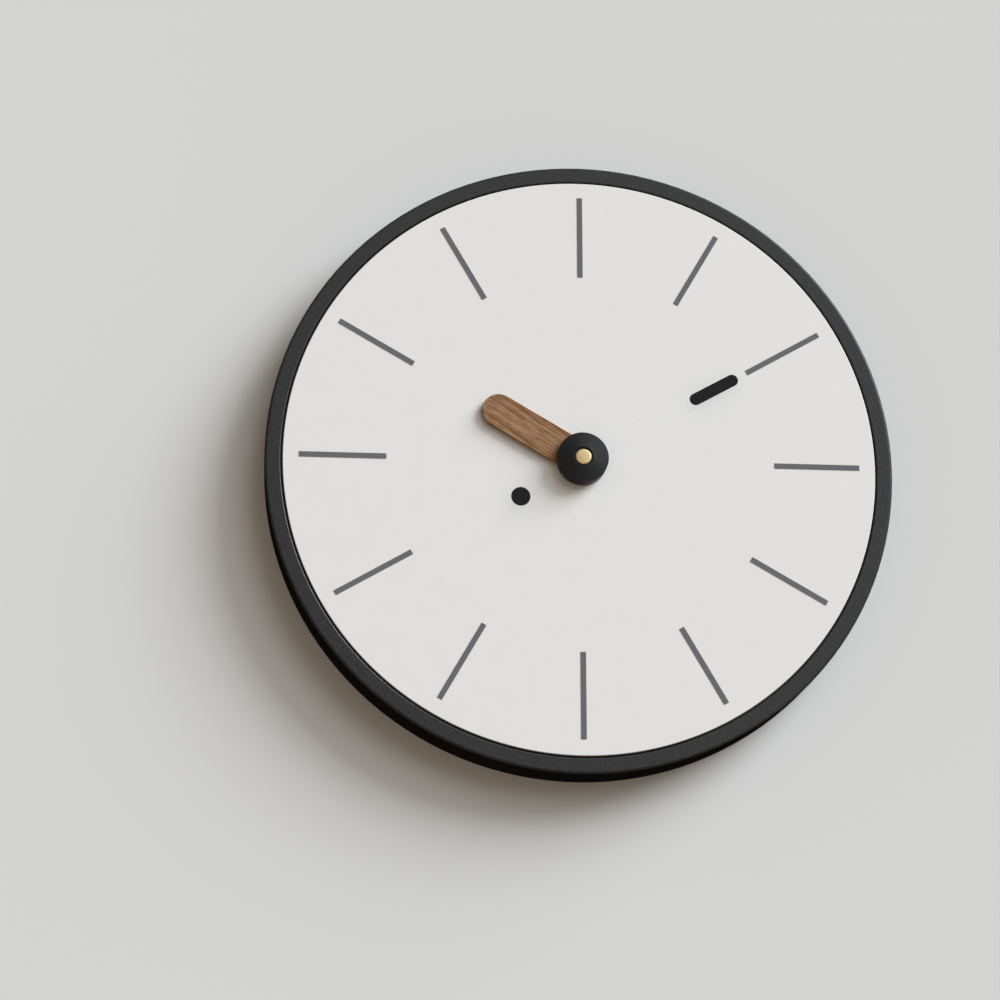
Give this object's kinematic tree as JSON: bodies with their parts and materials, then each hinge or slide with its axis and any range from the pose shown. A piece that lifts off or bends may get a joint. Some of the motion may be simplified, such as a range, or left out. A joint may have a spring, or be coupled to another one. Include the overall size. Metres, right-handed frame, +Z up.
{
  "type": "wall clock",
  "caption": "Round quartz wall clock: charcoal ring, pale dial with hour bars, wooden hour hand, floating minute bar and second dot on clear arms, geared movement and keyhole hanger.",
  "frame": {"origin": "middle of the hanger's round keyhole, on the wall plane", "axes": "+Z up to twelve o'clock, +Y into the wall, the dial faces -Y, +X towards three o'clock"},
  "size_m": [0.35, 0.0362, 0.35],
  "materials": {
    "frame_black": "matte charcoal",
    "dial_white": "satin white",
    "mark_grey": "printed grey",
    "walnut": "oiled wood",
    "hub_black": "satin black",
    "brass_polished": "polished",
    "brass_plain": "turned",
    "clear_acrylic": "clear",
    "print_black": "printed black",
    "steel_plain": "zinc plated",
    "movement_plastic": "moulded black",
    "gear_plastic": "natural acetal",
    "gasket_rubber": "matt black",
    "coil_copper": "enamelled copper",
    "board_green": "solder mask",
    "chip_black": "moulded resin",
    "crystal_can": "bright",
    "magnet_dark": "sintered",
    "cell_wrap": "printed foil"
  },
  "bodies": {
    "case": {"frame_ring": "frame_black", "dial_plate": "dial_white", "hour_marks": "mark_grey", "dial_gasket": "gasket_rubber", "hanger_plate": "steel_plain", "movement_front_case": "movement_plastic", "movement_rear_case": "movement_plastic", "threaded_bushing": "brass_plain", "bushing_washer": "brass_plain", "bushing_nut": "brass_plain", "stator": "steel_plain", "coil_core": "steel_plain", "coil_bobbin": "gear_plastic", "coil_winding": "coil_copper", "circuit_board": "board_green", "control_chip": "chip_black", "quartz_crystal": "crystal_can", "battery_contact_negative": "steel_plain", "battery_contact_positive": "steel_plain"},
    "hour": {"hour_wheel": "gear_plastic", "hour_hub": "hub_black", "hour_hand": "walnut"},
    "minute": {"minute_pipe": "gear_plastic", "minute_arm": "clear_acrylic", "minute_bar": "print_black"},
    "second": {"second_wheel": "gear_plastic", "second_spindle": "steel_plain", "second_collet": "brass_plain", "second_arm": "clear_acrylic", "second_dot": "print_black", "hub_cap": "hub_black", "cap_pin": "brass_polished"},
    "motion": {"motion_wheel": "gear_plastic"},
    "setting": {"setting_gear": "gear_plastic", "setting_knob": "gear_plastic"},
    "centre": {"centre_wheel": "gear_plastic"},
    "third": {"third_wheel": "gear_plastic"},
    "intermediate": {"intermediate_wheel": "gear_plastic"},
    "rotor": {"rotor_pinion": "gear_plastic", "rotor_magnet": "magnet_dark"},
    "battery_cell": {"battery": "cell_wrap"}
  },
  "joints": [
    {"name": "minute_hand_turn", "type": "hinge", "parent": "case", "child": "minute", "pos_m": [0, 0, -0.041], "axis": [0, 1, 0], "continuous": true},
    {"name": "hour_hand_turn", "type": "hinge", "parent": "case", "child": "hour", "pos_m": [0, 0, -0.041], "axis": [0, 1, 0], "continuous": true},
    {"name": "motion_wheel_turn", "type": "hinge", "parent": "case", "child": "motion", "pos_m": [0.00788, 0, -0.03961], "axis": [0, 1, 0], "continuous": true},
    {"name": "setting_knob_turn", "type": "hinge", "parent": "case", "child": "setting", "pos_m": [0.01576, 0, -0.03822], "axis": [0, 1, 0], "continuous": true},
    {"name": "second_hand_turn", "type": "hinge", "parent": "case", "child": "second", "pos_m": [0, 0, -0.041], "axis": [0, 1, 0], "continuous": true},
    {"name": "third_wheel_turn", "type": "hinge", "parent": "case", "child": "third", "pos_m": [0.00264, 0, -0.03115], "axis": [0, 1, 0], "continuous": true},
    {"name": "centre_wheel_turn", "type": "hinge", "parent": "case", "child": "centre", "pos_m": [0, 0, -0.041], "axis": [0, 1, 0], "continuous": true},
    {"name": "intermediate_wheel_turn", "type": "hinge", "parent": "case", "child": "intermediate", "pos_m": [-0.01008, 0, -0.0383], "axis": [0, 1, 0], "continuous": true},
    {"name": "rotor_turn", "type": "hinge", "parent": "case", "child": "rotor", "pos_m": [-0.01296, 0, -0.0304], "axis": [0, 1, 0], "continuous": true},
    {"name": "battery_lift_out", "type": "slide", "parent": "case", "child": "battery_cell", "axis": [0, 1, 0], "range_m": [0, 0.03]}
  ],
  "couplings": [
    {"joint": "hour_hand_turn", "follows": "minute_hand_turn", "ratio": 0.083333},
    {"joint": "motion_wheel_turn", "follows": "minute_hand_turn", "ratio": -0.33333},
    {"joint": "setting_knob_turn", "follows": "minute_hand_turn", "ratio": 1},
    {"joint": "third_wheel_turn", "follows": "second_hand_turn", "ratio": -0.13333},
    {"joint": "centre_wheel_turn", "follows": "second_hand_turn", "ratio": 0.016667},
    {"joint": "intermediate_wheel_turn", "follows": "second_hand_turn", "ratio": -5},
    {"joint": "rotor_turn", "follows": "second_hand_turn", "ratio": 30}
  ]
}
